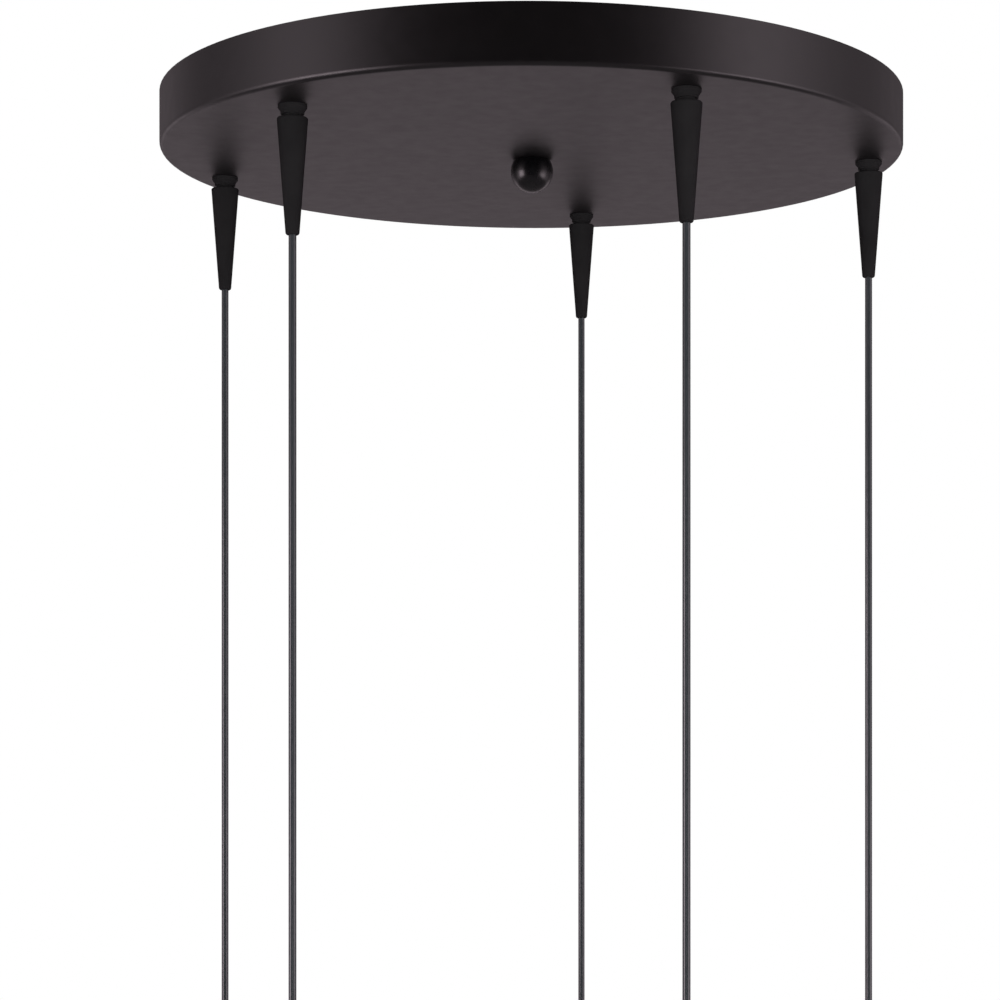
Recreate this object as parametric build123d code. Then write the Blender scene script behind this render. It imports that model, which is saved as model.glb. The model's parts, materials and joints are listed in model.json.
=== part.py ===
from build123d import *
import math
import os

# A five-cord cluster pendant on a round ceiling canopy, in millimetres, with +Z up.
# The origin is the middle of the ceiling plane, everything hangs below it, and the viewer
# stands on the -Y side.  Pieces that repeat are numbered 1 to 5, from the port at the front
# left, counter-clockwise as seen from above.

# --- canopy pan ---------------------------------------------------------------------------
CANOPY_RADIUS = 175.0
CANOPY_HEIGHT = 25.4
CANOPY_SHEET = 1.2
CANOPY_CORNER = 2.2             # outside radius of the pressed lower edge
# Where each cord leaves the canopy, and how far below the ceiling its lamp holder starts
PORTS = {
    1: (-101.3, -108.1, 418.0),
    2: (65.7, -135.9, 413.0),
    3: (161.0, 2.9, 437.0),
    4: (25.1, 135.1, 459.0),
    5: (-152.5, 40.1, 443.0),
}

# --- ceiling crossbar and the stud that carries the canopy ----------------------------------
BAR_LENGTH = 112.0
BAR_WIDTH = 19.0
BAR_SHEET = 1.8
BAR_COLLAR_HEIGHT = 2.6         # drawn collar round the tapped middle hole
BAR_COLLAR_WALL = 2.0
BOX_SCREW_SPACING = 88.9        # screw to screw on a standard ceiling box
BOX_SLOT_LENGTH = 13.0
BOX_SLOT_WIDTH = 4.8
STUD_RADIUS = 4.8
STUD_BORE = 3.3
STUD_LENGTH = 36.0
STUD_NUT_FLATS = 15.0
STUD_NUT_HEIGHT = 3.6
GROUND_SCREW_X = 22.0
GROUND_SCREW_RADIUS = 2.4
GROUND_HEAD_FLATS = 8.0
GROUND_HEAD_HEIGHT = 2.8
GROUND_FLANGE_RADIUS = 5.2
GROUND_FLANGE_HEIGHT = 1.0

# --- ball finial ----------------------------------------------------------------------------
BALL_RADIUS = 10.1
BALL_CENTRE_DROP = 5.4          # below the canopy's underside, which cuts the ball flat
FINIAL_THREAD_DEPTH = 11.8

# --- cord and cord grips --------------------------------------------------------------------
CORD_RADIUS = 1.7
FLANGE_RADIUS = 6.3
FLANGE_HEIGHT = 1.2
FLANGE_TAPER = 1.7              # height of the taper from the flange to its lip
FLANGE_ROUND = 0.4
LIP_RADIUS = 5.1
LIP_HEIGHT = 1.1
LIP_ROUND = 0.35
NECK_RADIUS = 4.2
NECK_GAP = 1.3                  # bare neck between the lip and the cone
STEM_RADIUS = 4.9               # threaded part above the canopy's sheet
STEM_HEIGHT = 5.4               # above the inside floor of the pan
SPIGOT_RADIUS = 3.8             # threaded part inside the cone
SPIGOT_LENGTH = 10.0
SEAT_DEPTH = 3.0                # taper in the spigot's end that closes the collet
SEAT_RADIUS = 3.0
GLAND_NUT_FLATS = 13.0
GLAND_NUT_HEIGHT = 3.0
WASHER_RADIUS = 7.6
WASHER_SHEET = 0.8
WASHER_TEETH = 12
CONE_LENGTH = 50.3
CONE_TOP_RADIUS = 6.75
CONE_TIP_RADIUS = 2.95
CONE_TOP_ROUND = 0.8
CONE_TIP_ROUND = 1.2
CONE_THREAD_LENGTH = 13.0
CONE_SEAT_LENGTH = 8.0          # taper that squeezes the collet
COLLET_TOP_RADIUS = 3.3
COLLET_LOW_RADIUS = 2.6
COLLET_LENGTH = 11.0
COLLET_SLIT = 0.6
COLLET_SLIT_LENGTH = 7.0
MOUTH_CLEARANCE = 0.45          # round the cord at the cone's tip, for the cord to swing
PIVOT_HEIGHT = 1.5              # above the tip, where the cord bends when it swings
PIVOT_GAP = 0.3
BEND_LENGTH = 2.5
GRIP_TRAVEL = 3.0               # how far a cone comes down as it unscrews

# --- wiring inside the canopy ---------------------------------------------------------------
GATHER_ANGLE = 123.0            # the side, seen from above, where the cords come together
GATHER_RADIUS = 79.0            # where the jackets end
CORE_RADIUS = 0.7
CORE_OFFSET = 0.85              # of each core from the middle of its jacket
CORE_LEAD = 5.0                 # straight length of core at the jacket and before the connector
CONNECTOR_MOUTH_RADIUS = 6.5
CONNECTOR_TIP_RADIUS = 4.0
CONNECTOR_LENGTH = 24.0
CONNECTOR_BORE = 3.4
CONNECTOR_BORE_DEPTH = 5.0
CONNECTOR_MOUTH_AT = 54.0       # distance of the mouth from the middle of the canopy
CONNECTOR_SIDE = 9.0            # distance of each connector from the line between them
LINE_CONNECTOR_Z = -10.5
NEUTRAL_CONNECTOR_Z = -17.0
BUNDLE_RADIUS = 1.9             # circle on which the cores enter a connector

# --- lamp holder ----------------------------------------------------------------------------
CAP_STEP = 1.9                  # the cap stands out this far beyond the body
CAP_HEIGHT = 24.0
CAP_SHEET = 1.2
CAP_NECK_RADIUS = 5.5
CAP_NECK_HEIGHT = 7.0
CAP_SHOULDER_ROUND = 8.0
BODY_RADIUS = 18.6
BODY_TOP_DROP = 11.0            # top of the moulded body, below the top of the cap
BODY_LENGTH = 47.0
BODY_ROOF = 14.0                # solid top of the body, above the lamp's space
SHELL_BORE = 13.3               # fits the screw cap of a household lamp
SHELL_SHEET = 0.5
SHELL_LENGTH = 24.5             # it starts below the tab
SHELL_RIM_INSET = 4.5           # the shell stops short of the body's lower edge
TAB_WIDTH = 5.0
TAB_SHEET = 0.8
TAB_RISE = 2.5
RING_WIDTH = 4.9
RING_HEIGHT = 6.5
RING_DROP = 33.0                # top of the shade ring, below the top of the cap
RING_NOTCHES = 20
RING_NOTCH_RADIUS = 1.4

# --- fits -----------------------------------------------------------------------------------
THREAD_CLEARANCE = 0.05
CORD_CLEARANCE = 0.05
HOLE_CLEARANCE = 0.35
FACE_GAP = 0.05                 # between faces that turn on each other
WIRE_CLEARANCE = 0.2
END_GAP = 0.5                   # between the lengths of cord inside a cone

# --- heights that follow --------------------------------------------------------------------
UNDERSIDE_Z = -CANOPY_HEIGHT
FLOOR_Z = UNDERSIDE_Z + CANOPY_SHEET
FLANGE_LOW_Z = UNDERSIDE_Z - FLANGE_HEIGHT
LIP_TOP_Z = FLANGE_LOW_Z - FLANGE_TAPER
LIP_LOW_Z = LIP_TOP_Z - LIP_HEIGHT
CONE_TOP_Z = LIP_LOW_Z - NECK_GAP
CONE_TIP_Z = CONE_TOP_Z - CONE_LENGTH
SPIGOT_END_Z = CONE_TOP_Z - SPIGOT_LENGTH
PIVOT_Z = CONE_TIP_Z + PIVOT_HEIGHT
STEM_TOP_Z = FLOOR_Z + STEM_HEIGHT
CORD_ON_FLOOR_Z = FLOOR_Z + CORD_RADIUS + WIRE_CLEARANCE
MOUTH_RADIUS = CORD_RADIUS + MOUTH_CLEARANCE
TAIL_PITCH = 2 * CORD_RADIUS + 3 * WIRE_CLEARANCE
BODY_BORE = SHELL_BORE + SHELL_SHEET
CAP_RADIUS = BODY_RADIUS + CAP_STEP
RING_RADIUS = BODY_RADIUS + RING_WIDTH


def revolved(points):
    """Turn a closed outline of (radius, z) points about the Z axis."""
    outline = Polyline(*[(r, 0, z) for r, z in points], close=True)
    return revolve(make_face(outline), Axis.Z)


def cone_between(lower_z, upper_z, lower_radius, upper_radius):
    """A cone frustum, or a cylinder, from one height to another on the Z axis."""
    return revolved([(0, lower_z), (lower_radius, lower_z), (upper_radius, upper_z), (0, upper_z)])


def ring_between(lower_z, upper_z, outer_radius, inner_radius):
    """A tube from one height to another on the Z axis."""
    outline = [(inner_radius, lower_z), (outer_radius, lower_z), (outer_radius, upper_z), (inner_radius, upper_z)]
    return revolved(outline)


def hexagon(flats, lower_z, height, bore):
    """A hexagon nut that stands on lower_z, with its bore."""
    blank = extrude(RegularPolygon(flats / 2, 6, major_radius=False), height)
    return Pos(0, 0, lower_z) * (blank - Cylinder(bore, 3 * height))


def cord_along(points, radius):
    """A round cord with an arc at each corner, as large as its two runs allow."""
    corners = [Vector(*p) for p in points]
    runs = [b - a for a, b in zip(corners, corners[1:])]
    radii = []
    for before, after in zip(runs, runs[1:]):
        half_turn = math.radians(before.get_angle(after)) / 2
        radii.append(0.45 * min(before.length, after.length) / math.tan(half_turn))
    path = FilletPolyline(*corners, radius=radii)
    section = Plane(origin=corners[0], z_dir=runs[0]) * Circle(radius)
    cord = sweep(section, path=path)
    expected = math.pi * radius ** 2 * path.length
    print("  least radius %.1f, length %.1f, volume over section x length %.4f"
          % (min(radii), path.length, cord.volume / expected))
    return cord


# --- what hangs from the ceiling box ---------------------------------------------------------
def make_crossbar():
    strap = extrude(SlotOverall(BAR_LENGTH, BAR_WIDTH), -BAR_SHEET)
    collar_end = -BAR_SHEET - BAR_COLLAR_HEIGHT
    strap += cone_between(collar_end, -BAR_SHEET, STUD_RADIUS + BAR_COLLAR_WALL, STUD_RADIUS + BAR_COLLAR_WALL)
    slot = extrude(SlotOverall(BOX_SLOT_LENGTH, BOX_SLOT_WIDTH), BAR_SHEET, both=True)
    for side in (-1, 1):
        strap -= Pos(side * BOX_SCREW_SPACING / 2, 0, 0) * slot
    strap -= Cylinder(STUD_RADIUS, 4 * BAR_COLLAR_HEIGHT)
    strap -= Pos(GROUND_SCREW_X, 0, 0) * Cylinder(GROUND_SCREW_RADIUS, 3 * BAR_SHEET)
    return strap


def make_stud():
    return ring_between(-STUD_LENGTH, 0, STUD_RADIUS, STUD_BORE)


def make_stud_locknut():
    top = -BAR_SHEET - BAR_COLLAR_HEIGHT
    return hexagon(STUD_NUT_FLATS, top - STUD_NUT_HEIGHT, STUD_NUT_HEIGHT, STUD_RADIUS)


def make_ground_screw():
    flange = -BAR_SHEET - GROUND_FLANGE_HEIGHT
    screw = cone_between(flange, 0, GROUND_SCREW_RADIUS, GROUND_SCREW_RADIUS)
    screw += cone_between(flange, -BAR_SHEET, GROUND_FLANGE_RADIUS, GROUND_FLANGE_RADIUS)
    head = extrude(RegularPolygon(GROUND_HEAD_FLATS / 2, 6, major_radius=False), -GROUND_HEAD_HEIGHT)
    slot = Box(2 * GROUND_HEAD_FLATS, GROUND_HEAD_HEIGHT / 2, GROUND_HEAD_HEIGHT)
    head -= Pos(0, 0, -GROUND_HEAD_HEIGHT) * slot
    return Pos(GROUND_SCREW_X, 0, 0) * (screw + Pos(0, 0, flange) * head)


# --- canopy ----------------------------------------------------------------------------------
def make_canopy_pan():
    inner = CANOPY_RADIUS - CANOPY_SHEET
    inner_corner = CANOPY_CORNER - CANOPY_SHEET
    shell = cone_between(UNDERSIDE_Z, 0, CANOPY_RADIUS, CANOPY_RADIUS)
    shell = fillet(shell.edges().group_by(Axis.Z)[0], CANOPY_CORNER)
    hollow = cone_between(FLOOR_Z, CANOPY_HEIGHT, inner, inner)
    hollow = fillet(hollow.edges().group_by(Axis.Z)[0], inner_corner)
    pan = shell - hollow
    pan -= Pos(0, 0, FLOOR_Z) * Cylinder(STUD_RADIUS + HOLE_CLEARANCE, 3 * CANOPY_SHEET)
    for x, y, _ in PORTS.values():
        pan -= Pos(x, y, FLOOR_Z) * Cylinder(STEM_RADIUS + THREAD_CLEARANCE, 3 * CANOPY_SHEET)
    return pan


def make_finial():
    ball = Pos(0, 0, UNDERSIDE_Z - BALL_CENTRE_DROP) * Sphere(BALL_RADIUS)
    above = Pos(0, 0, UNDERSIDE_Z - FACE_GAP) * Box(
        3 * BALL_RADIUS, 3 * BALL_RADIUS, 2 * BALL_RADIUS, align=(Align.CENTER, Align.CENTER, Align.MIN))
    bore = cone_between(UNDERSIDE_Z - FINIAL_THREAD_DEPTH, 0,
                        STUD_RADIUS + THREAD_CLEARANCE, STUD_RADIUS + THREAD_CLEARANCE)
    return ball - above - bore


# --- cord grips, each on the Z axis until it is put on its port --------------------------------
def make_collar():
    bore = CORD_RADIUS + CORD_CLEARANCE
    collar = revolved([
        (bore, STEM_TOP_Z), (STEM_RADIUS, STEM_TOP_Z), (STEM_RADIUS, UNDERSIDE_Z),
        (FLANGE_RADIUS, UNDERSIDE_Z), (FLANGE_RADIUS, FLANGE_LOW_Z), (LIP_RADIUS, LIP_TOP_Z),
        (LIP_RADIUS, LIP_LOW_Z), (NECK_RADIUS, LIP_LOW_Z),
        (NECK_RADIUS, CONE_TOP_Z + FACE_GAP), (SPIGOT_RADIUS, CONE_TOP_Z + FACE_GAP),
        (SPIGOT_RADIUS, SPIGOT_END_Z), (SEAT_RADIUS, SPIGOT_END_Z), (bore, SPIGOT_END_Z + SEAT_DEPTH),
    ])
    rims = collar.edges().filter_by(GeomType.CIRCLE)
    flange_rim = rims.filter_by(lambda edge: abs(edge.center().Z - FLANGE_LOW_Z) < 0.01)
    collar = fillet(flange_rim, FLANGE_ROUND)
    rims = collar.edges().filter_by(GeomType.CIRCLE)
    lip_rim = rims.filter_by(lambda edge: abs(edge.center().Z - LIP_LOW_Z) < 0.01 and edge.radius > NECK_RADIUS + 0.1)
    return fillet(lip_rim, LIP_ROUND)


def make_gland_washer():
    washer = ring_between(FLOOR_Z, FLOOR_Z + WASHER_SHEET, WASHER_RADIUS, STEM_RADIUS)
    notch = Box(WASHER_RADIUS / 3, WASHER_SHEET, 3 * WASHER_SHEET)
    for tooth in range(WASHER_TEETH):
        turn = Rot(0, 0, 360 / WASHER_TEETH * tooth)
        washer -= turn * Pos(WASHER_RADIUS, 0, FLOOR_Z) * notch
    return washer


def make_gland_nut():
    return hexagon(GLAND_NUT_FLATS, FLOOR_Z + WASHER_SHEET, GLAND_NUT_HEIGHT, STEM_RADIUS)


def cone_seat_radius(z):
    """Radius of the taper in the cone that closes on the collet, at a height."""
    top = CONE_TOP_Z - CONE_THREAD_LENGTH
    share = (top - z) / CONE_SEAT_LENGTH
    return COLLET_TOP_RADIUS + FACE_GAP + share * (COLLET_LOW_RADIUS - COLLET_TOP_RADIUS)


def make_cone():
    thread = SPIGOT_RADIUS + THREAD_CLEARANCE
    thread_end = CONE_TOP_Z - CONE_THREAD_LENGTH
    seat_end = thread_end - CONE_SEAT_LENGTH
    body = cone_between(CONE_TIP_Z, CONE_TOP_Z, CONE_TIP_RADIUS, CONE_TOP_RADIUS)
    rims = body.edges().filter_by(GeomType.CIRCLE).sort_by(Axis.Z)
    body = fillet(rims[-1], CONE_TOP_ROUND)
    rims = body.edges().filter_by(GeomType.CIRCLE).sort_by(Axis.Z)
    body = fillet(rims[0], CONE_TIP_ROUND)
    bore = revolved([
        (0, CONE_TOP_Z + 1), (thread, CONE_TOP_Z + 1), (thread, thread_end),
        (cone_seat_radius(thread_end), thread_end), (cone_seat_radius(seat_end), seat_end),
        (MOUTH_RADIUS, seat_end), (MOUTH_RADIUS, CONE_TIP_Z - 1), (0, CONE_TIP_Z - 1),
    ])
    return body - bore


def make_collet():
    """The split collet and, inside it, the length of cord that it grips."""
    shoulder = CONE_TOP_Z - CONE_THREAD_LENGTH
    low = shoulder - CONE_SEAT_LENGTH + END_GAP
    top = SPIGOT_END_Z + SEAT_DEPTH / 2
    bore = CORD_RADIUS + CORD_CLEARANCE
    seat_share = (top - SPIGOT_END_Z) / SEAT_DEPTH
    nose = SEAT_RADIUS + seat_share * (bore - SEAT_RADIUS) - FACE_GAP
    collet = revolved([
        (bore, top), (nose, top), (SEAT_RADIUS - FACE_GAP, SPIGOT_END_Z),
        (COLLET_TOP_RADIUS, SPIGOT_END_Z - END_GAP), (COLLET_TOP_RADIUS, shoulder),
        (cone_seat_radius(low) - FACE_GAP, low), (bore, low),
    ])
    slit = Pos(0, 0, low) * Box(3 * COLLET_TOP_RADIUS, COLLET_SLIT, 2 * COLLET_SLIT_LENGTH)
    collet -= slit
    collet -= Rot(0, 0, 90) * slit
    return collet


def make_gripped_cord():
    low = PIVOT_Z + PIVOT_GAP + BEND_LENGTH + END_GAP
    return cone_between(low, SPIGOT_END_Z + SEAT_DEPTH, CORD_RADIUS, CORD_RADIUS)


def make_cord_bend():
    low = PIVOT_Z + PIVOT_GAP
    return cone_between(low, low + BEND_LENGTH, CORD_RADIUS, CORD_RADIUS)


# --- wiring inside the canopy ------------------------------------------------------------------
# Each cord leaves its port in a short hook, given as (distance from the port, height), and
# then lies on the pan's floor.  The floor points are (outward, sideways) from the middle of the
# canopy, in directions turned with the side where the cords come together.
TAIL_HOOK = [(0.0, STEM_TOP_Z), (0.0, -12.0), (6.0, -6.5), (18.0, -7.5), (38.0, -15.0)]
TAIL_FLOOR_POINTS = {
    1: [(-2, -92), (24, -60), (50, -46), (72, -40.5), (91.4, -39), (100.5, -29.9), (100.5, -17.1),
        (91.4, -2 * TAIL_PITCH), (79, -2 * TAIL_PITCH)],
    2: [(-96, 0), (-48, 22), (-4, 34), (30, 38), (54, 38.6), (74, 38.2), (91.2, 38), (100, 29.2),
        (100, 16.8), (91.2, 2 * TAIL_PITCH), (79, 2 * TAIL_PITCH)],
    3: [(-48, 88), (-8, 66), (30, 53), (56, 47.5), (76, 46.3), (96.7, 46), (109, 33.7), (109, 16.3),
        (96.7, TAIL_PITCH), (79, TAIL_PITCH)],
    4: [(122, 36), (123, 16), (116, 4.5), (104, 0.6), (91.5, 0), (79, 0)],
    5: [(124, -48), (125, -26), (121, -12), (110, -0.8 - TAIL_PITCH), (94, -TAIL_PITCH), (79, -TAIL_PITCH)],
}
# Where the core of each cord enters its connector, as an angle on the bundle's circle
BUNDLE_ANGLES = {1: 162, 5: 234, 4: 90, 3: 306, 2: 18}


def gather_place(outward, sideways, z):
    """A point of the wiring, from its outward and sideways distances, in the canopy."""
    turn = math.radians(GATHER_ANGLE)
    x = outward * math.cos(turn) + sideways * math.sin(turn)
    y = outward * math.sin(turn) - sideways * math.cos(turn)
    return (x, y, z)


def tail_points(number):
    """The route of a cord inside the canopy, from its port to the end of its jacket."""
    port_x, port_y, _ = PORTS[number]
    floor = [gather_place(g, s, CORD_ON_FLOOR_Z) for g, s in TAIL_FLOOR_POINTS[number]]
    run_x = floor[0][0] - port_x
    run_y = floor[0][1] - port_y
    run = math.hypot(run_x, run_y)
    hook = [(port_x + run_x / run * away, port_y + run_y / run * away, z) for away, z in TAIL_HOOK]
    return hook + floor


def make_cord_tails():
    tails = []
    for number, (x, y, _) in PORTS.items():
        print("cord tail", number)
        tail = cord_along(tail_points(number), CORD_RADIUS)
        inside = cone_between(SPIGOT_END_Z + SEAT_DEPTH, STEM_TOP_Z, CORD_RADIUS, CORD_RADIUS)
        tails.append(tail + Pos(x, y, 0) * inside)
    return tails


def make_cores(side, connector_z, start_offset):
    """The cores of one colour, from the end of each jacket into their connector."""
    cores = []
    start_z = CORD_ON_FLOOR_Z + start_offset
    for number, angle in BUNDLE_ANGLES.items():
        lateral = TAIL_FLOOR_POINTS[number][-1][1]
        across = side * CONNECTOR_SIDE + BUNDLE_RADIUS * math.cos(math.radians(angle))
        height = connector_z + BUNDLE_RADIUS * math.sin(math.radians(angle))
        cores.append(cord_along([
            gather_place(GATHER_RADIUS, lateral, start_z),
            gather_place(GATHER_RADIUS - CORE_LEAD, lateral, start_z),
            gather_place(CONNECTOR_MOUTH_AT + CORE_LEAD, across, height),
            gather_place(CONNECTOR_MOUTH_AT - CONNECTOR_BORE_DEPTH / 2, across, height),
        ], CORE_RADIUS))
    return cores


def make_connector(side, connector_z):
    mouth = CONNECTOR_MOUTH_RADIUS
    skirt = 0.35 * CONNECTOR_LENGTH
    cap = revolved([(0, 0), (mouth, 0), (mouth, -skirt), (CONNECTOR_TIP_RADIUS, -CONNECTOR_LENGTH),
                    (0, -CONNECTOR_LENGTH)])
    cap = fillet(cap.edges().filter_by(GeomType.CIRCLE).sort_by(Axis.Z)[0], CONNECTOR_TIP_RADIUS / 3)
    cap -= cone_between(-CONNECTOR_BORE_DEPTH, 1, CONNECTOR_BORE, CONNECTOR_BORE)
    origin = gather_place(CONNECTOR_MOUTH_AT, side * CONNECTOR_SIDE, connector_z)
    outward = gather_place(1, 0, 0)
    return Plane(origin=origin, z_dir=outward) * cap


# --- lamp holder, with the top of its cap at z = 0 until it is put on its cord --------------------
def make_holder_cap():
    neck_low = -CAP_NECK_HEIGHT
    shell = cone_between(-CAP_HEIGHT, neck_low, CAP_RADIUS, CAP_RADIUS)
    shell = fillet(shell.edges().group_by(Axis.Z)[-1], CAP_SHOULDER_ROUND)
    inner = CAP_RADIUS - CAP_SHEET
    hollow = cone_between(-2 * CAP_HEIGHT, neck_low - CAP_SHEET, inner, inner)
    hollow = fillet(hollow.edges().group_by(Axis.Z)[-1], CAP_SHOULDER_ROUND - CAP_SHEET)
    neck = cone_between(neck_low - CAP_SHEET, 0, CAP_NECK_RADIUS, CAP_NECK_RADIUS)
    neck = chamfer(neck.edges().group_by(Axis.Z)[-1], CAP_SHEET)
    bore = CORD_RADIUS + CORD_CLEARANCE
    return shell - hollow + neck - cone_between(-CAP_HEIGHT, 1, bore, bore)


def make_holder_body():
    top = -BODY_TOP_DROP
    low = top - BODY_LENGTH
    roof = top - BODY_ROOF
    neck = BODY_RADIUS - CAP_SHOULDER_ROUND / 2
    collar_low = -CAP_HEIGHT
    collar_end = collar_low - 2 * CAP_SHEET
    body = revolved([
        (0, top), (neck, top), (BODY_RADIUS, top - CAP_SHOULDER_ROUND / 2), (BODY_RADIUS, collar_low),
        (CAP_RADIUS, collar_low), (CAP_RADIUS, collar_end), (BODY_RADIUS, collar_end),
        (BODY_RADIUS, low), (BODY_BORE, low), (BODY_BORE, roof), (0, roof),
    ])
    rim = body.edges().filter_by(GeomType.CIRCLE).group_by(Axis.Z)[0]
    return fillet(rim, (BODY_RADIUS - BODY_BORE) / 4)


def make_socket_contacts():
    """The screw shell and, separate from it, the spring tab for the lamp's tip."""
    roof = -BODY_TOP_DROP - BODY_ROOF
    shell_low = -BODY_TOP_DROP - BODY_LENGTH + SHELL_RIM_INSET
    shell = ring_between(shell_low, shell_low + SHELL_LENGTH, SHELL_BORE + SHELL_SHEET, SHELL_BORE)
    tab_length = SHELL_BORE
    tab = Box(tab_length, TAB_WIDTH, TAB_SHEET, align=(Align.CENTER, Align.CENTER, Align.MAX))
    foot = Box(tab_length / 4, TAB_WIDTH, TAB_RISE, align=(Align.MIN, Align.CENTER, Align.MAX))
    spring = Pos(0, 0, -TAB_RISE) * tab + Pos(-tab_length / 2, 0, 0) * foot
    return [shell, Pos(0, 0, roof) * spring]


def make_shade_ring():
    ring = ring_between(-RING_DROP - RING_HEIGHT, -RING_DROP, RING_RADIUS, BODY_RADIUS + THREAD_CLEARANCE)
    rims = ring.edges().filter_by(GeomType.CIRCLE).filter_by(lambda edge: edge.radius > BODY_RADIUS + 1)
    ring = chamfer(rims, CAP_SHEET / 2)
    notch = Cylinder(RING_NOTCH_RADIUS, 3 * RING_HEIGHT)
    for number in range(RING_NOTCHES):
        turn = Rot(0, 0, 360 / RING_NOTCHES * number)
        ring -= turn * Pos(RING_RADIUS + RING_NOTCH_RADIUS / 2, 0, -RING_DROP) * notch
    return ring


def make_cord_drop(drop):
    """The straight hanging cord, from its bend down to the lamp holder's body."""
    return cone_between(-drop - BODY_TOP_DROP, PIVOT_Z - PIVOT_GAP, CORD_RADIUS, CORD_RADIUS)


# --- put together -------------------------------------------------------------------------------
def write(name, *solids):
    """Write one node's solids to its file."""
    shape = solids[0] if len(solids) == 1 else Compound(children=list(solids))
    export_step(shape, "parts/%s.step" % name)


os.makedirs("parts", exist_ok=True)

write("ceiling_crossbar", make_crossbar())
write("centre_stud", make_stud())
write("stud_locknut", make_stud_locknut())
write("ground_screw", make_ground_screw())
write("canopy_pan", make_canopy_pan())
write("ball_finial", make_finial())
write("cord_tails", *make_cord_tails())
write("line_cores", *make_cores(-1, LINE_CONNECTOR_Z, CORE_OFFSET))
write("neutral_cores", *make_cores(1, NEUTRAL_CONNECTOR_Z, -CORE_OFFSET))
write("wire_connectors", make_connector(-1, LINE_CONNECTOR_Z), make_connector(1, NEUTRAL_CONNECTOR_Z))

port_places = [Pos(x, y, 0) for x, y, _ in PORTS.values()]
washer = make_gland_washer()
nut = make_gland_nut()
write("gland_washers", *[place * washer for place in port_places])
write("gland_nuts", *[place * nut for place in port_places])

collar = make_collar()
cone = make_cone()
collet = make_collet()
gripped_cord = make_gripped_cord()
cord_bend = make_cord_bend()
holder_cap = make_holder_cap()
holder_body = make_holder_body()
socket_contacts = make_socket_contacts()
shade_ring = make_shade_ring()

for number, (x, y, drop) in PORTS.items():
    port = Pos(x, y, 0)
    holder = Pos(x, y, -drop)
    write("gland_collar_%d" % number, port * collar)
    write("grip_cone_%d" % number, port * cone)
    write("grip_collet_%d" % number, port * collet, port * gripped_cord)
    write("cord_bend_%d" % number, port * cord_bend)
    write("cord_drop_%d" % number, port * make_cord_drop(drop))
    write("holder_cap_%d" % number, holder * holder_cap)
    write("holder_body_%d" % number, holder * holder_body)
    write("socket_contacts_%d" % number, *[holder * piece for piece in socket_contacts])
    write("shade_ring_%d" % number, holder * shade_ring)
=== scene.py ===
"""A five-cord cluster pendant on a round ceiling canopy, dressed for rendering.

The canopy hangs from a crossbar on the ceiling box.  Each cord leaves it through a grip with a long
tapered cone, and carries a lamp holder.  The origin is on the ceiling, above the middle of the
canopy, with Z up.  Sizes are in millimetres and angles in degrees, unless a note says metres.
"""

import json
import logging
import math
from abc import ABC, abstractmethod
from collections.abc import Sequence
from dataclasses import dataclass, field
from enum import Enum
from typing import Any

import bpy
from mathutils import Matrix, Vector

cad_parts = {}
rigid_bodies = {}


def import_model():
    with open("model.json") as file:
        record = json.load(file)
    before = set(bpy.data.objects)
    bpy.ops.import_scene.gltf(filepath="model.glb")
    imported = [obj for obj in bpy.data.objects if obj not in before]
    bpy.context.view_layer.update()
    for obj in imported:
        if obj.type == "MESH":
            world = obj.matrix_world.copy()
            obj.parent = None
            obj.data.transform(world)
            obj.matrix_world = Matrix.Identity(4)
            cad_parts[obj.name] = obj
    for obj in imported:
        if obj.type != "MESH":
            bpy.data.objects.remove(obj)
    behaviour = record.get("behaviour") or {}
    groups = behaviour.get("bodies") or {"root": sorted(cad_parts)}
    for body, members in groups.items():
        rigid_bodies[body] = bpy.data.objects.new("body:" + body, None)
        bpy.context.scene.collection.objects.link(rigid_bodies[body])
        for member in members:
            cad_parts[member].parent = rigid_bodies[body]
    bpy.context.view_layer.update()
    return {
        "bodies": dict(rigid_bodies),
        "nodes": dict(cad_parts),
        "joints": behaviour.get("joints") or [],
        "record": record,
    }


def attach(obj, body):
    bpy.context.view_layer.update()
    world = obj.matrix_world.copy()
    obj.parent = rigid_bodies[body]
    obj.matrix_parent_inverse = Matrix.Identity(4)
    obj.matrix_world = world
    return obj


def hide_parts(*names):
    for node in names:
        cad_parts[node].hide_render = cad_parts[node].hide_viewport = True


LOG = logging.getLogger("cluster_pendant")

Point = tuple[float, float, float]
Colour = tuple[float, float, float]
Steps = Sequence[tuple[float, float]]
Frame = dict[str, Any]
Tree = bpy.types.NodeTree
Socket = bpy.types.NodeSocket

MM = 0.001  # metres in a millimetre
WHITE: Colour = (1.0, 1.0, 1.0)


# --- Shader nodes -----------------------------------------------------------------------------


def calculate(tree: Tree, operation: str, *values: Socket | float) -> Socket:
    """Add a node that works out a number.

    Args:
        tree: Node tree that it goes into.
        operation: What it does with its values.
        values: Its values, each a socket or a number.

    Returns:
        Its result.
    """
    node = tree.nodes.new("ShaderNodeMath")
    node.operation = operation
    for entry, value in zip(node.inputs, values):
        if isinstance(value, Socket):
            tree.links.new(value, entry)
        else:
            entry.default_value = value
    return node.outputs["Value"]


def remap(
    tree: Tree, value: Socket, source: tuple[float, float], target: tuple[float, float] = (0.0, 1.0)
) -> Socket:
    """Add a node that maps one span of values on to another, and stops at its ends.

    Args:
        tree: Node tree that it goes into.
        value: The value.
        source: Start and end of the value's span.
        target: Start and end of the result's span.

    Returns:
        The mapped value.
    """
    node = tree.nodes.new("ShaderNodeMapRange")
    node.inputs["From Min"].default_value, node.inputs["From Max"].default_value = source
    node.inputs["To Min"].default_value, node.inputs["To Max"].default_value = target
    tree.links.new(value, node.inputs["Value"])
    return node.outputs["Result"]


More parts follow.
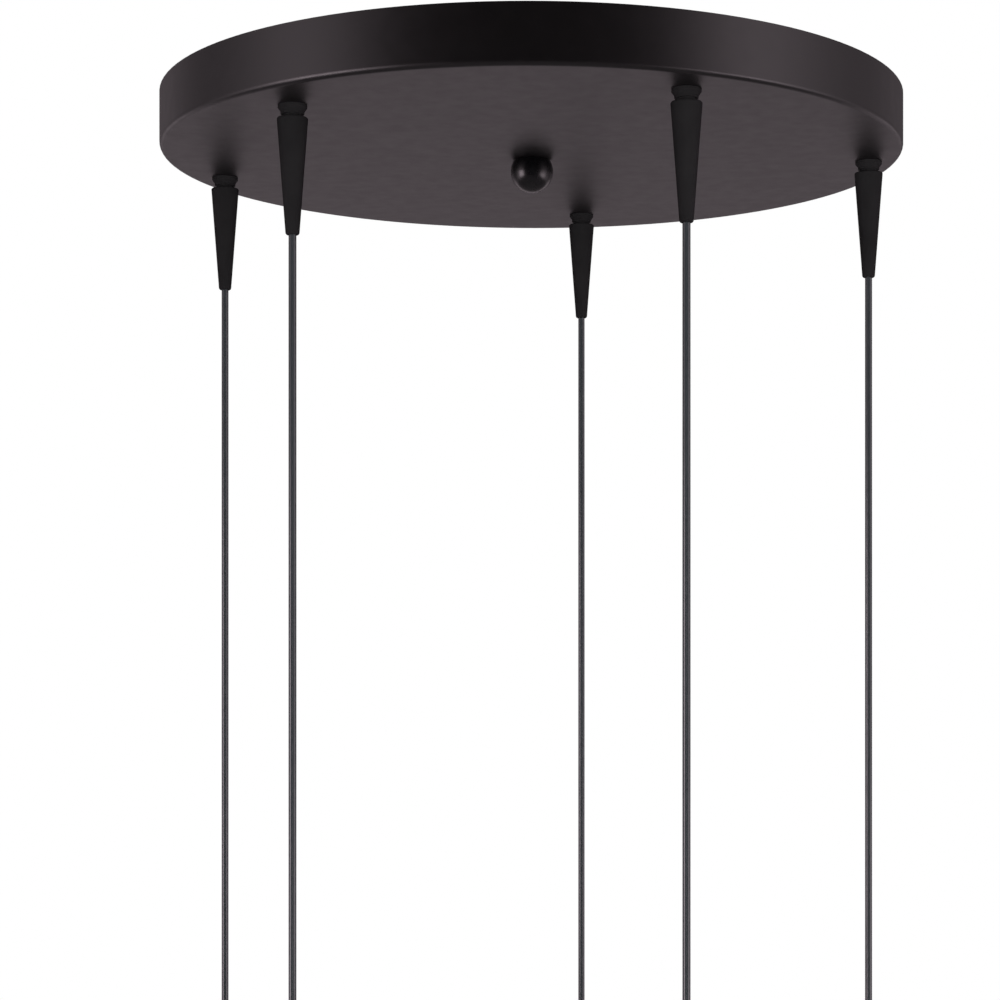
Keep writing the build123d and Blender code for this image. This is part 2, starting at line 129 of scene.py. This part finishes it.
def brightness_ramp(tree: Tree, value: Socket, steps: Steps) -> Socket:
    """Add a ramp of brightness.

    Args:
        tree: Node tree that it goes into.
        value: Place on the ramp, from 0 to 1.
        steps: The ramp's steps, each as (place, brightness), the first at 0 and the last at 1.

    Returns:
        The brightness.
    """
    node = tree.nodes.new("ShaderNodeValToRGB")
    elements = node.color_ramp.elements
    for place, brightness in steps[1:-1]:
        elements.new(place).color = (brightness, brightness, brightness, 1.0)
    for end in (0, -1):
        brightness = steps[end][1]
        elements[end].color = (brightness, brightness, brightness, 1.0)
    tree.links.new(value, node.inputs["Fac"])
    return node.outputs["Color"]


# --- Finishes ---------------------------------------------------------------------------------


class Grain(Enum):
    """The kinds of fine surface that a finish can have."""

    SMOOTH = "smooth"
    ORANGE_PEEL = "orange peel"
    MOULDED = "moulded"
    BRUSHED = "brushed"
    EXTRUDED = "extruded"


# How close together the grains lie along X, Y and Z: a low value draws them out that way.
GRAIN_CLOSENESS = {
    Grain.ORANGE_PEEL: (1.0, 1.0, 1.0),
    Grain.MOULDED: (1.0, 1.0, 1.0),
    Grain.BRUSHED: (0.05, 1.0, 1.0),
    Grain.EXTRUDED: (1.0, 1.0, 0.04),
}
GRAIN_DETAIL = 2.0
GRAIN_STRENGTH = 0.6
DULL_EDGE = 0.5  # height over which a duller lower part begins


@dataclass(frozen=True)
class Patches:
    """Soft random patches on a surface.

    Attributes:
        size: Size of one patch.
        detail: How much finer detail the patches have.
        span: The part of the noise that is spread over the whole variation.
    """

    size: float
    detail: float
    span: tuple[float, float] = (0.0, 1.0)

    def noise(self, tree: Tree, place: Socket) -> Socket:
        """Add the noise of these patches.

        Args:
            tree: Node tree that it goes into.
            place: The place on the piece.

        Returns:
            The noise.
        """
        node = tree.nodes.new("ShaderNodeTexNoise")
        node.inputs["Scale"].default_value = 1.0 / (self.size * MM)
        node.inputs["Detail"].default_value = self.detail
        tree.links.new(place, node.inputs["Vector"])
        return node.outputs["Fac"]


COLOUR_PATCHES = Patches(18.0, 4.0, (0.35, 0.65))
GLOSS_PATCHES = Patches(7.0, 6.0, (0.3, 0.7))


@dataclass(frozen=True)
class Finish:
    """A paint, plastic or metal surface.

    Attributes:
        name: Name of the finish.
        colour: Linear base colour.
        roughness: Middle roughness.
        metallic: 1 for bare metal.
        specular: Specular level of the surface.
        grain: Kind of fine surface.
        grain_size: Size of one grain.
        relief: Depth of the grain.
        mottle: How much the colour varies, as a share.
        wear: How much the roughness varies.
        dull_below: Height below which the surface is duller.
        dulling: How much its roughness grows there.
    """

    name: str
    colour: Colour
    roughness: float
    metallic: float = 0.0
    specular: float = 0.5
    grain: Grain = Grain.SMOOTH
    grain_size: float = 0.5
    relief: float = 0.01
    mottle: float = 0.08
    wear: float = 0.05
    dull_below: float = 0.0
    dulling: float = 0.0

    def material(self) -> bpy.types.Material:
        """Make the finish's material, or find it if it is made already.

        Returns:
            The node material.
        """
        label = f"{self.name}_look"
        found = bpy.data.materials.get(label)
        if found is not None:
            return found
        material = bpy.data.materials.new(label)
        material.use_nodes = True
        material.diffuse_color = (*self.colour, 1.0)
        tree = material.node_tree
        surface = tree.nodes["Principled BSDF"]
        surface.inputs["Metallic"].default_value = self.metallic
        surface.inputs["Specular IOR Level"].default_value = self.specular
        place = tree.nodes.new("ShaderNodeTexCoord").outputs["Object"]
        tree.links.new(self._mottled_colour(tree, place), surface.inputs["Base Color"])
        tree.links.new(self._worn_roughness(tree, place), surface.inputs["Roughness"])
        if self.grain is not Grain.SMOOTH:
            tree.links.new(self._grain_relief(tree, place), surface.inputs["Normal"])
        return material

    def _mottled_colour(self, tree: Tree, place: Socket) -> Socket:
        """Vary the base colour a little over the piece.

        Args:
            tree: Node tree of the material.
            place: The place on the piece.

        Returns:
            The colour.
        """
        node = tree.nodes.new("ShaderNodeValToRGB")
        low, high = node.color_ramp.elements
        low.position, high.position = COLOUR_PATCHES.span
        low.color = (*(c * (1 - self.mottle) for c in self.colour), 1.0)
        high.color = (*(c * (1 + self.mottle) for c in self.colour), 1.0)
        tree.links.new(COLOUR_PATCHES.noise(tree, place), node.inputs["Fac"])
        return node.outputs["Color"]

    def _worn_roughness(self, tree: Tree, place: Socket) -> Socket:
        """Vary the roughness a little, as handling and dust do.

        Args:
            tree: Node tree of the material.
            place: The place on the piece.

        Returns:
            The roughness.
        """
        noise = GLOSS_PATCHES.noise(tree, place)
        limits = (self.roughness - self.wear, self.roughness + self.wear)
        roughness = remap(tree, noise, GLOSS_PATCHES.span, limits)
        if not self.dulling:
            return roughness
        sides = tree.nodes.new("ShaderNodeSeparateXYZ")
        tree.links.new(place, sides.inputs["Vector"])
        edge = ((self.dull_below + DULL_EDGE) * MM, self.dull_below * MM)
        return calculate(
            tree, "ADD", roughness, remap(tree, sides.outputs["Z"], edge, (0.0, self.dulling))
        )

    def _grain_relief(self, tree: Tree, place: Socket) -> Socket:
        """Raise the fine relief of the finish's grain.

        Args:
            tree: Node tree of the material.
            place: The place on the piece.

        Returns:
            The surface's direction.
        """
        mapping = tree.nodes.new("ShaderNodeMapping")
        mapping.inputs["Scale"].default_value = GRAIN_CLOSENESS[self.grain]
        tree.links.new(place, mapping.inputs["Vector"])
        grains = Patches(self.grain_size, GRAIN_DETAIL).noise(tree, mapping.outputs["Vector"])
        bump = tree.nodes.new("ShaderNodeBump")
        bump.inputs["Strength"].default_value = GRAIN_STRENGTH
        bump.inputs["Distance"].default_value = self.relief * MM
        tree.links.new(grains, bump.inputs["Height"])
        return bump.outputs["Normal"]


# The canopy's flat underside starts at the rounded lower edge, and is duller than its wall.
CANOPY_PAINT = Finish(
    "canopy_paint", (0.0012, 0.0010, 0.0011), 0.36, grain=Grain.ORANGE_PEEL,
    grain_size=0.7, relief=0.005, mottle=0.12, wear=0.02, dull_below=-25.3, dulling=0.09,
)
FINIAL_PAINT = Finish(
    "finial_paint", (0.0014, 0.0014, 0.0017), 0.27, specular=0.4, mottle=0.1, wear=0.03
)
GRIP_PLASTIC = Finish(
    "grip_plastic", (0.0130, 0.0125, 0.0130), 0.6, specular=0.012, grain=Grain.MOULDED,
    grain_size=0.3, relief=0.006, mottle=0.12, wear=0.05,
)
COLLET_NYLON = Finish("collet_nylon", (0.72, 0.70, 0.64), 0.4, mottle=0.04)
CORD_JACKET = Finish(
    "cord_jacket", (0.028, 0.032, 0.035), 0.17, specular=0.5, grain=Grain.EXTRUDED,
    grain_size=0.35, relief=0.004, mottle=0.05, wear=0.03,
)
LINE_JACKET = Finish("line_insulation", (0.02, 0.02, 0.02), 0.35)
NEUTRAL_JACKET = Finish("neutral_insulation", (0.8, 0.8, 0.77), 0.35, mottle=0.03)
CONNECTOR_PLASTIC = Finish(
    "connector_plastic", (0.62, 0.035, 0.02), 0.3, grain=Grain.MOULDED, grain_size=0.6, relief=0.01
)
ZINC_STEEL = Finish(
    "zinc_steel", (0.62, 0.62, 0.60), 0.32, metallic=1.0, grain=Grain.BRUSHED,
    grain_size=0.3, relief=0.004, mottle=0.1, wear=0.08,
)
GROUND_GREEN = Finish("ground_green", (0.02, 0.24, 0.06), 0.35, mottle=0.1)
HOLDER_PAINT = Finish(
    "holder_paint", (0.008, 0.0078, 0.008), 0.36, grain=Grain.ORANGE_PEEL,
    grain_size=0.6, relief=0.006, wear=0.03,
)
HOLDER_PLASTIC = Finish(
    "holder_plastic", (0.012, 0.012, 0.012), 0.42, grain=Grain.MOULDED, grain_size=0.4, relief=0.006
)
SOCKET_BRASS = Finish(
    "socket_brass", (0.78, 0.58, 0.26), 0.28, metallic=1.0, grain=Grain.BRUSHED,
    grain_size=0.3, relief=0.004, wear=0.08,
)


# --- Ports and cord ---------------------------------------------------------------------------


@dataclass(frozen=True)
class Port:
    """A place where a cord leaves the canopy.

    Attributes:
        number: Number of the port.
        x: Distance to the right of the canopy's middle.
        y: Distance behind it.
        drop: Depth of the lamp holder's top below the ceiling.
    """

    number: int
    x: float
    y: float
    drop: float

    def node(self, piece: str) -> str:
        """Name of one of the port's pieces or bodies."""
        return f"{piece}_{self.number}"

    def at(self, height: float) -> Point:
        """A point on the port's axis, in metres."""
        return (self.x * MM, self.y * MM, height * MM)


PORTS = (
    Port(1, -101.3, -108.1, 418.0),
    Port(2, 65.7, -135.9, 413.0),
    Port(3, 161.0, 2.9, 437.0),
    Port(4, 25.1, 135.1, 459.0),
    Port(5, -152.5, 40.1, 443.0),
)


@dataclass(frozen=True)
class CordStock:
    """The round cord that the pendants are made with.

    Attributes:
        radius: Radius of the cord.
        jacket: Finish of its jacket.
        roundness: How round its section is: it has four sides, and two more for each step.
        smoothness: Steps between two of its control points.
    """

    radius: float = 1.7
    jacket: Finish = CORD_JACKET
    roundness: int = 6
    smoothness: int = 14

    @property
    def diameter(self) -> float:
        """Diameter of the cord, in metres."""
        return 2 * self.radius * MM

    def along(self, name: str, points: Sequence[Point]) -> bpy.types.Object:
        """Make a length of cord as a smooth curve.

        Args:
            name: Name of the piece.
            points: Its control points, in metres, the first and the last at its ends.

        Returns:
            The curve object.
        """
        curve = bpy.data.curves.new(name, "CURVE")
        curve.dimensions = "3D"
        curve.bevel_depth = self.radius * MM
        curve.bevel_resolution = self.roundness
        curve.resolution_u = self.smoothness
        curve.use_fill_caps = True
        spline = curve.splines.new("NURBS")
        spline.points.add(len(points) - 1)
        for control, point in zip(spline.points, points):
            control.co = (*point, 1.0)
        spline.order_u = 3
        spline.use_endpoint_u = True
        curve.materials.append(self.jacket.material())
        piece = bpy.data.objects.new(name, curve)
        bpy.context.scene.collection.objects.link(piece)
        return piece


CORD = CordStock()


# --- Sub-assemblies ---------------------------------------------------------------------------


class SubAssembly(ABC):
    """A group of pieces that are built and dressed together."""

    @abstractmethod
    def build(self, frame: Frame) -> list[str]:
        """Build and dress the pieces.

        Args:
            frame: The loaded frame.

        Returns:
            The names of the pieces.
        """

    @staticmethod
    def dress(frame: Frame, finishes: dict[str, Finish]) -> list[str]:
        """Give pieces that keep their own shape their finish.

        Args:
            frame: The loaded frame.
            finishes: The finish of each piece.

        Returns:
            The names of the pieces.
        """
        for name, finish in finishes.items():
            piece = frame["nodes"][name]
            if not piece.material_slots:
                piece.data.materials.append(finish.material())
            for slot in piece.material_slots:
                slot.material = finish.material()
        return list(finishes)


@dataclass
class CeilingMount(SubAssembly):
    """The crossbar on the ceiling box, with its stud, locknut and ground screw.

    Attributes:
        steel: Finish of the crossbar, the stud and the nut.
        ground: Finish of the ground screw.
    """

    steel: Finish = ZINC_STEEL
    ground: Finish = GROUND_GREEN

    def build(self, frame: Frame) -> list[str]:
        """Dress the mount's pieces.

        Args:
            frame: The loaded frame.

        Returns:
            The names of the pieces.
        """
        return self.dress(
            frame,
            {
                "ceiling_crossbar": self.steel,
                "centre_stud": self.steel,
                "stud_locknut": self.steel,
                "ground_screw": self.ground,
            },
        )


@dataclass
class Canopy(SubAssembly):
    """The round pan, and the ball finial that holds it up.

    Attributes:
        paint: Finish of the pan.
        ball_paint: Finish of the ball.
    """

    paint: Finish = CANOPY_PAINT
    ball_paint: Finish = FINIAL_PAINT

    def build(self, frame: Frame) -> list[str]:
        """Dress the pan and the ball.

        Args:
            frame: The loaded frame.

        Returns:
            The names of the pieces.
        """
        return self.dress(frame, {"canopy_pan": self.paint, "ball_finial": self.ball_paint})


@dataclass
class CordGrips(SubAssembly):
    """The five grips: collar, cone and split collet, with the nuts and washers above the sheet.

    Attributes:
        plastic: Finish of the collars and the cones.
        nylon: Finish of the collets.
        steel: Finish of the nuts and the washers.
    """

    plastic: Finish = GRIP_PLASTIC
    nylon: Finish = COLLET_NYLON
    steel: Finish = ZINC_STEEL

    def build(self, frame: Frame) -> list[str]:
        """Dress every grip's pieces.

        Args:
            frame: The loaded frame.

        Returns:
            The names of the pieces.
        """
        finishes = {"gland_nuts": self.steel, "gland_washers": self.steel}
        for port in PORTS:
            finishes[port.node("gland_collar")] = self.plastic
            finishes[port.node("grip_cone")] = self.plastic
            finishes[port.node("grip_collet")] = self.nylon
        return self.dress(frame, finishes)


@dataclass
class LampHolders(SubAssembly):
    """The five lamp holders: cap, body, screw shell with its tab, and shade ring.

    Attributes:
        paint: Finish of the caps.
        plastic: Finish of the bodies and the shade rings.
        brass: Finish of the shells and the tabs.
    """

    paint: Finish = HOLDER_PAINT
    plastic: Finish = HOLDER_PLASTIC
    brass: Finish = SOCKET_BRASS

    def build(self, frame: Frame) -> list[str]:
        """Dress every lamp holder's pieces.

        Args:
            frame: The loaded frame.

        Returns:
            The names of the pieces.
        """
        finishes = {}
        for port in PORTS:
            finishes[port.node("holder_cap")] = self.paint
            finishes[port.node("holder_body")] = self.plastic
            finishes[port.node("socket_contacts")] = self.brass
            finishes[port.node("shade_ring")] = self.plastic
        return self.dress(frame, finishes)


@dataclass
class Wiring(SubAssembly):
    """The cords' tails inside the canopy, their bared cores and the two wire connectors.

    Attributes:
        cord: The cord.
        stem_z: Height of the top of a collar, where a tail starts.
        floor_z: Height of a tail's middle on the canopy's floor.
        gather_deg: Side of the canopy where the tails come together.
        hook: Start of a tail, as (distance from the port, height).
        floor_points: The rest of each tail, as (outward, sideways) on the floor.
        curve_share: Length of a tail's curve, as a share of the distances between its points; not
            used.
        line: Finish of the line cores.
        neutral: Finish of the neutral cores.
        connector: Finish of the wire connectors.
    """

    cord: CordStock = CORD
    stem_z: float = -18.8
    floor_z: float = -22.3
    gather_deg: float = 123.0
    hook: Steps = ((0.0, -12.0), (6.0, -6.5), (18.0, -7.5), (38.0, -15.0))
    floor_points: dict[int, Steps] = field(
        default_factory=lambda: {
            1: ((-2, -92), (24, -60), (50, -46), (72, -40.5), (91.4, -39), (100.5, -29.9),
                (100.5, -17.1), (91.4, -8), (79, -8)),
            2: ((-96, 0), (-48, 22), (-4, 34), (30, 38), (54, 38.6), (74, 38.2), (91.2, 38),
                (100, 29.2), (100, 16.8), (91.2, 8), (79, 8)),
            3: ((-48, 88), (-8, 66), (30, 53), (56, 47.5), (76, 46.3), (96.7, 46), (109, 33.7),
                (109, 16.3), (96.7, 4), (79, 4)),
            4: ((122, 36), (123, 16), (116, 4.5), (104, 0.6), (91.5, 0), (79, 0)),
            5: ((124, -48), (125, -26), (121, -12), (110, -4.8), (94, -4), (79, -4)),
        }
    )
    curve_share: float = 0.982
    line: Finish = LINE_JACKET
    neutral: Finish = NEUTRAL_JACKET
    connector: Finish = CONNECTOR_PLASTIC

    def build(self, frame: Frame) -> list[str]:
        """Lay the tails, and dress the cores and the connectors.

        Args:
            frame: The loaded frame.

        Returns:
            The names of the pieces.
        """
        tails = [self.tail(port) for port in PORTS]
        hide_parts("cord_tails")
        dressed = self.dress(
            frame,
            {
                "wire_connectors": self.connector,
                "line_cores": self.line,
                "neutral_cores": self.neutral,
            },
        )
        return [tail.name for tail in tails] + dressed

    def tail(self, port: Port) -> bpy.types.Object:
        """Lay one cord's tail, from its collar to where its jacket ends.

        Args:
            port: The cord's port.

        Returns:
            The tail.
        """
        points = self._route(port)
        tail = self.cord.along(port.node("cord_tail"), points)
        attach(tail, "canopy")
        return tail

    def _route(self, port: Port) -> list[Point]:
        """Find a tail's control points.

        Args:
            port: The cord's port.

        Returns:
            The points, in metres: up out of the collar, over in a hook, and along the floor.
        """
        turn = math.radians(self.gather_deg)
        floor = []
        for outward, sideways in self.floor_points[port.number]:
            x = outward * math.cos(turn) + sideways * math.sin(turn)
            y = outward * math.sin(turn) - sideways * math.cos(turn)
            floor.append((x * MM, y * MM, self.floor_z * MM))
        away = Vector(floor[0]) - Vector(port.at(self.floor_z))
        away.normalize()
        hook = []
        for distance, height in self.hook:
            x, y, z = port.at(height)
            hook.append((x + away.x * distance * MM, y + away.y * distance * MM, z))
        return [port.at(self.stem_z), *hook, *floor]


@dataclass
class HangingCords(SubAssembly):
    """The five cords between the mouths of their cones and their lamp holders.

    Attributes:
        cord: The cord.
        mouth_z: Height of the mouths of the cones; not used.
        flexing_z: Top and bottom of the short length that flexes inside a cone.
        top_z: Height where a hanging length starts inside its cone.
        straight_start: Distance from there to the hanging length's second point.
        body_drop: Depth of a lamp holder's body below its top.
    """

    cord: CordStock = CORD
    mouth_z: float = -81.0
    flexing_z: tuple[float, float] = (-76.7, -79.2)
    top_z: float = -79.8
    straight_start: float = 19.0
    body_drop: float = 11.0

    def build(self, frame: Frame) -> list[str]:
        """Make every cord's flexing and hanging lengths.

        Args:
            frame: The loaded frame.

        Returns:
            The names of the pieces.
        """
        names = []
        for port in PORTS:
            names += [self.flexing(port).name, self.hanging(port, frame).name]
        return names

    def flexing(self, port: Port) -> bpy.types.Object:
        """Make the short length that flexes inside a cone's mouth.

        Args:
            port: The cord's port.

        Returns:
            The short length.
        """
        top, low = self.flexing_z
        points = [port.at(top), port.at((top + low) / 2), port.at(low)]
        stub = self.cord.along(port.node("flexing_cord"), points)
        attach(stub, port.node("bend"))
        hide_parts(port.node("cord_bend"))
        return stub

    def hanging(self, port: Port, frame: Frame) -> bpy.types.Object:
        """Hang one cord, straight and tight, from its cone to its lamp holder.

        Args:
            port: The cord's port.
            frame: The loaded frame; not used.

        Returns:
            The cord.
        """
        second_z = self.top_z - self.straight_start
        low = -port.drop - self.body_drop
        points = [port.at(self.top_z), port.at(second_z), port.at(low)]
        cord = self.cord.along(port.node("pendant_cord"), points)
        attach(cord, port.node("pendant"))
        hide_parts(port.node("cord_drop"))
        return cord


# --- Studio -----------------------------------------------------------------------------------


@dataclass(frozen=True)
class Lamp:
    """A large soft lamp, for the matt surfaces or for the shiny ones.

    Attributes:
        name: Name of the lamp.
        place: Where it hangs, in metres.
        size: Its width and height, in metres.
        watts: Its power.
        spread: Angle of its beam.
        for_gloss: Whether shiny surfaces show it, and matt ones do not.
    """

    name: str
    place: Point
    size: tuple[float, float]
    watts: float
    spread: float = 180.0
    for_gloss: bool = False

    def hang(self, aim: Point, gloss_colour: Colour) -> None:
        """Hang the lamp.

        Args:
            aim: The point that it is turned to, in metres.
            gloss_colour: Colour of a lamp that only shiny surfaces show.
        """
        data = bpy.data.lights.new(self.name, "AREA")
        data.shape = "RECTANGLE"
        data.size, data.size_y = self.size
        data.energy = self.watts
        data.spread = math.radians(self.spread)
        data.color = gloss_colour if self.for_gloss else WHITE
        lamp = bpy.data.objects.new(self.name, data)
        lamp.location = self.place
        lamp.rotation_euler = (Vector(aim) - lamp.location).to_track_quat("-Z", "Y").to_euler()
        lamp.visible_glossy = self.for_gloss
        lamp.visible_diffuse = not self.for_gloss
        lamp.visible_camera = False
        bpy.context.scene.collection.objects.link(lamp)


@dataclass
class Studio:
    """The camera, the soft surroundings, the plain floor and the lamps.

    Attributes:
        eye: Place of the camera, in metres.
        focal: Focal length.
        sensor: Width of the camera's sensor.
        shift: Shift of the picture, as a share of its width.
        sight: Nearest and furthest that the camera sees, in metres.
        tint: Colour of the surroundings.
        glow: Their brightness, by the angle from the front, positive to the right.
        rise: What that is multiplied by, by the angle above the horizon.
        base: Brightness that is there on every side.
        floor_z: Height of the floor, in metres.
        floor_size: Width of the floor, in metres.
        floor_grey: Colour of the floor.
        floor_roughness: Roughness of the floor.
        floor_glow: How much brighter the camera sees the floor.
        aim: The point that the lamps are turned to, in metres.
        lamps: The lamps.
    """

    eye: Point = (0.01188, -1.050, -0.25398)
    focal: float = 79.22
    sensor: float = 36.0
    shift: tuple[float, float] = (-0.0569, 0.1394)
    sight: tuple[float, float] = (0.01, 100.0)
    tint: Colour = (1.0, 0.85, 0.92)
    glow: Steps = (
        (-180, 0.04), (-160, 0.08), (-138, 0.33), (-115, 0.17), (-98, 0.3), (-84, 0.8), (-75, 1.2),
        (-62, 1.05), (-52, 0.45), (-44, 0.0), (42, 0.0), (50, 0.6), (60, 1.6), (70, 1.85), (80, 1.3),
        (90, 0.8), (102, 0.44), (118, 0.22), (138, 0.25), (160, 0.08), (180, 0.04),
    )
    rise: Steps = (
        (-90, 0.1), (-52, 0.2), (-40, 1.5), (-26, 2.0), (-15, 1.6), (-8, 0.85), (4, 0.95),
        (14, 0.85), (32, 1.15), (54, 1.3), (68, 0.1), (90, 0.0),
    )
    base: float = 0.045
    floor_z: float = -1.6
    floor_size: float = 5.0
    floor_grey: float = 0.5
    floor_roughness: float = 0.9
    floor_glow: float = 0.6
    aim: Point = (0.0, 0.0, -0.2)
    lamps: tuple[Lamp, ...] = (
        Lamp("fill_front", (0.1, -2.4, -0.6), (1.6, 1.2), 13.5, spread=80.0),
        Lamp("fill_rear", (-0.3, 2.4, -0.2), (1.6, 1.4), 17.0, spread=80.0),
        Lamp("kicker_left", (-1.9, -1.1, -0.54), (1.0, 1.0), 16.5, for_gloss=True),
        Lamp("low_rear", (0.0, 2.4, -1.0), (5.0, 1.0), 8.2, for_gloss=True),
        Lamp("kicker_right", (1.95, -1.0, -0.8), (1.3, 0.7), 4.0, for_gloss=True),
    )

    def build(self) -> None:
        """Make the camera, the surroundings, the floor and the lamps."""
        self._camera()
        self._surroundings()
        self._floor()
        for lamp in self.lamps:
            lamp.hang(self.aim, self.tint)

    def _camera(self) -> None:
        """Make the camera that stands where the photograph was taken, and looks level."""
        data = bpy.data.cameras.new("camera")
        data.sensor_width = self.sensor
        data.lens = self.focal
        data.shift_x, data.shift_y = self.shift
        data.clip_start, data.clip_end = self.sight
        camera = bpy.data.objects.new("camera", data)
        camera.location = self.eye
        camera.rotation_euler = (math.radians(90.0), 0.0, 0.0)
        bpy.context.scene.collection.objects.link(camera)
        bpy.context.scene.camera = camera

    def _surroundings(self) -> None:
        """Surround the object with soft light, and with white where the camera looks past it."""
        world = bpy.data.worlds.new("studio")
        bpy.context.scene.world = world
        world.use_nodes = True
        tree = world.node_tree
        tree.nodes.clear()
        soft = tree.nodes.new("ShaderNodeBackground")
        soft.inputs["Color"].default_value = (*self.tint, 1.0)
        tree.links.new(self._brightness(tree), soft.inputs["Strength"])
        white = tree.nodes.new("ShaderNodeBackground")
        white.inputs["Color"].default_value = (*WHITE, 1.0)
        rays = tree.nodes.new("ShaderNodeLightPath")
        seen = tree.nodes.new("ShaderNodeMixShader")
        tree.links.new(rays.outputs["Is Camera Ray"], seen.inputs["Fac"])
        tree.links.new(soft.outputs["Background"], seen.inputs[1])
        tree.links.new(white.outputs["Background"], seen.inputs[2])
        output = tree.nodes.new("ShaderNodeOutputWorld")
        tree.links.new(seen.outputs["Shader"], output.inputs["Surface"])

    def _brightness(self, tree: Tree) -> Socket:
        """Work out how bright the surroundings are in each direction.

        Args:
            tree: Node tree of the world.

        Returns:
            The brightness.
        """
        direction = tree.nodes.new("ShaderNodeTexCoord").outputs["Generated"]
        sides = tree.nodes.new("ShaderNodeSeparateXYZ")
        tree.links.new(direction, sides.inputs["Vector"])
        forward = calculate(tree, "MULTIPLY", sides.outputs["Y"], -1.0)
        angle = calculate(tree, "ARCTAN2", sides.outputs["X"], forward)
        around = brightness_ramp(
            tree,
            remap(tree, angle, (-math.pi, math.pi)),
            [((degrees + 180) / 360, level) for degrees, level in self.glow],
        )
        upward = brightness_ramp(
            tree,
            remap(tree, sides.outputs["Z"], (-1.0, 1.0)),
            [(math.sin(math.radians(degrees)) / 2 + 0.5, level) for degrees, level in self.rise],
        )
        return calculate(tree, "MULTIPLY_ADD", around, upward, self.base)

    def _floor(self) -> None:
        """Lay the plain pale floor far below the object."""
        half = self.floor_size / 2
        mesh = bpy.data.meshes.new("floor")
        corners_xy = [(-half, -half), (half, -half), (half, half), (-half, half)]
        mesh.from_pydata([(x, y, self.floor_z) for x, y in corners_xy], [], [(0, 1, 2, 3)])
        floor = bpy.data.objects.new("floor", mesh)
        bpy.context.scene.collection.objects.link(floor)
        material = bpy.data.materials.new("floor")
        material.use_nodes = True
        tree = material.node_tree
        surface = tree.nodes["Principled BSDF"]
        surface.inputs["Base Color"].default_value = (*[self.floor_grey] * 3, 1.0)
        surface.inputs["Roughness"].default_value = self.floor_roughness
        surface.inputs["Emission Color"].default_value = (*WHITE, 1.0)
        rays = tree.nodes.new("ShaderNodeLightPath")
        glow = calculate(tree, "MULTIPLY", rays.outputs["Is Camera Ray"], self.floor_glow)
        tree.links.new(glow, surface.inputs["Emission Strength"])
        mesh.materials.append(material)


# --- The whole --------------------------------------------------------------------------------


def main() -> None:
    logging.basicConfig(level=logging.INFO, format="%(name)s %(message)s")
    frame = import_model()
    bpy.context.scene.view_settings.view_transform = "Standard"
    Studio().build()
    LOG.info("Studio: camera, surroundings, floor and lamps")
    parts = (Wiring(), HangingCords(), CeilingMount(), Canopy(), CordGrips(), LampHolders())
    for part in parts:
        for piece in part.build(frame):
            LOG.info("%s: %s", type(part).__name__, piece)


if __name__ == "__main__":
    main()
